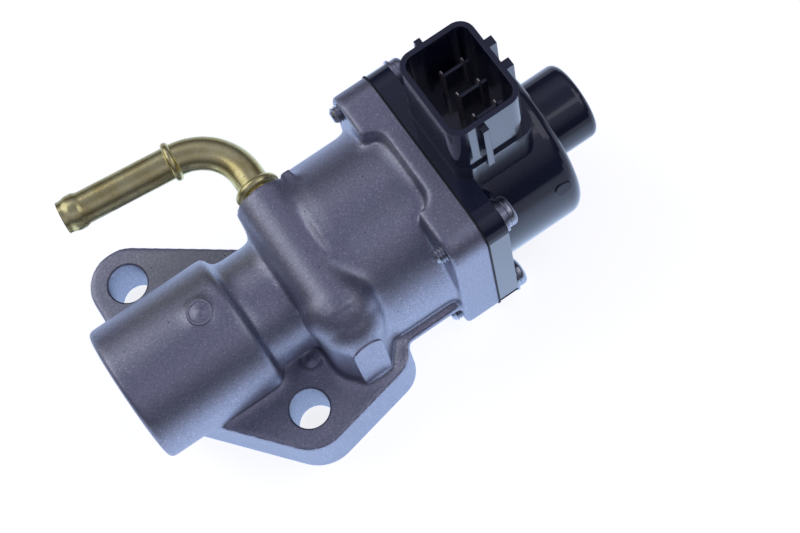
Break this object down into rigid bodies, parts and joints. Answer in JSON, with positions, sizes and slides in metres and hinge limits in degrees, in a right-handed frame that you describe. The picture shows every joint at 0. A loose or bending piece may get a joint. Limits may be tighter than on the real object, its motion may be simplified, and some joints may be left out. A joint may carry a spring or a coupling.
{
  "type": "exhaust gas recirculation valve",
  "caption": "Stepper-driven exhaust gas recirculation valve: cast barrel body with a two-hole mounting flange, bent coolant pipe, and a black motor with a socket connector.",
  "frame": {"origin": "On the mounting face, midway between its two bolt holes.", "axes": "+Z points away from the engine's face, +X runs along the main axis from the barrel to the motor, and +Y is the side of the coolant pipe."},
  "size_m": [0.1177, 0.0724, 0.0705],
  "materials": {
    "cast_aluminium": "die-cast, fine matt grain",
    "zinc_steel": "zinc plated, slightly dull",
    "yellow_zinc": "yellow passivated zinc, satin",
    "valve_steel": "turned stainless steel",
    "bearing_steel": "ground",
    "spring_steel": "drawn wire",
    "guide_bronze": "sintered bronze",
    "seal_rubber": "matt",
    "gasket_coating": "coated sheet, matt",
    "black_plastic": "glass-filled moulding, smooth gloss",
    "stator_steel": "pressed sheet, plated",
    "bobbin_plastic": "matt",
    "copper_winding": "enamelled copper wire",
    "ferrite": "sintered, matt",
    "tinned_terminal": "tin plated, dull"
  },
  "bodies": {
    "base": {"valve_body": "cast_aluminium", "barrel_plug": "zinc_steel", "valve_seat": "valve_steel", "stem_guide": "guide_bronze", "stem_seal": "seal_rubber", "seal_retainer": "zinc_steel", "return_spring": "spring_steel", "joint_gasket": "gasket_coating", "coolant_pipe": "yellow_zinc", "motor_housing": "black_plastic", "front_cover": "zinc_steel", "cover_seal": "seal_rubber", "front_bearing_outer": "bearing_steel", "front_bearing_balls": "bearing_steel", "rear_bearing_outer": "bearing_steel", "rear_bearing_balls": "bearing_steel", "wave_washer": "spring_steel", "front_yoke": "stator_steel", "front_pole_plate": "stator_steel", "front_bobbin": "bobbin_plastic", "front_winding": "copper_winding", "rear_yoke": "stator_steel", "rear_pole_plate": "stator_steel", "rear_bobbin": "bobbin_plastic", "rear_winding": "copper_winding", "terminal_1": "tinned_terminal", "terminal_2": "tinned_terminal", "terminal_3": "tinned_terminal", "terminal_4": "tinned_terminal", "terminal_5": "tinned_terminal", "terminal_6": "tinned_terminal", "flat_washers": "zinc_steel", "lock_washers": "zinc_steel", "flange_screws": "zinc_steel"},
    "rotor": {"rotor_nut": "guide_bronze", "rotor_magnet": "ferrite", "front_bearing_inner": "bearing_steel", "rear_bearing_inner": "bearing_steel"},
    "valve_train": {"poppet_valve": "valve_steel", "spring_seat": "zinc_steel", "spring_clip": "spring_steel", "lead_screw": "valve_steel"}
  },
  "joints": [
    {"name": "rotor_turn", "type": "hinge", "parent": "base", "child": "rotor", "pos_m": [0.07, -0.0023, 0.0248], "axis": [1, 0, 0], "range_deg": [0, 540]},
    {"name": "valve_slide", "type": "slide", "parent": "base", "child": "valve_train", "axis": [-1, 0, 0], "range_m": [0, 0.0045], "deforming": ["return_spring"]}
  ],
  "couplings": [
    {"joint": "rotor_turn", "follows": "valve_slide", "rad_per_m": 2094.4}
  ]
}
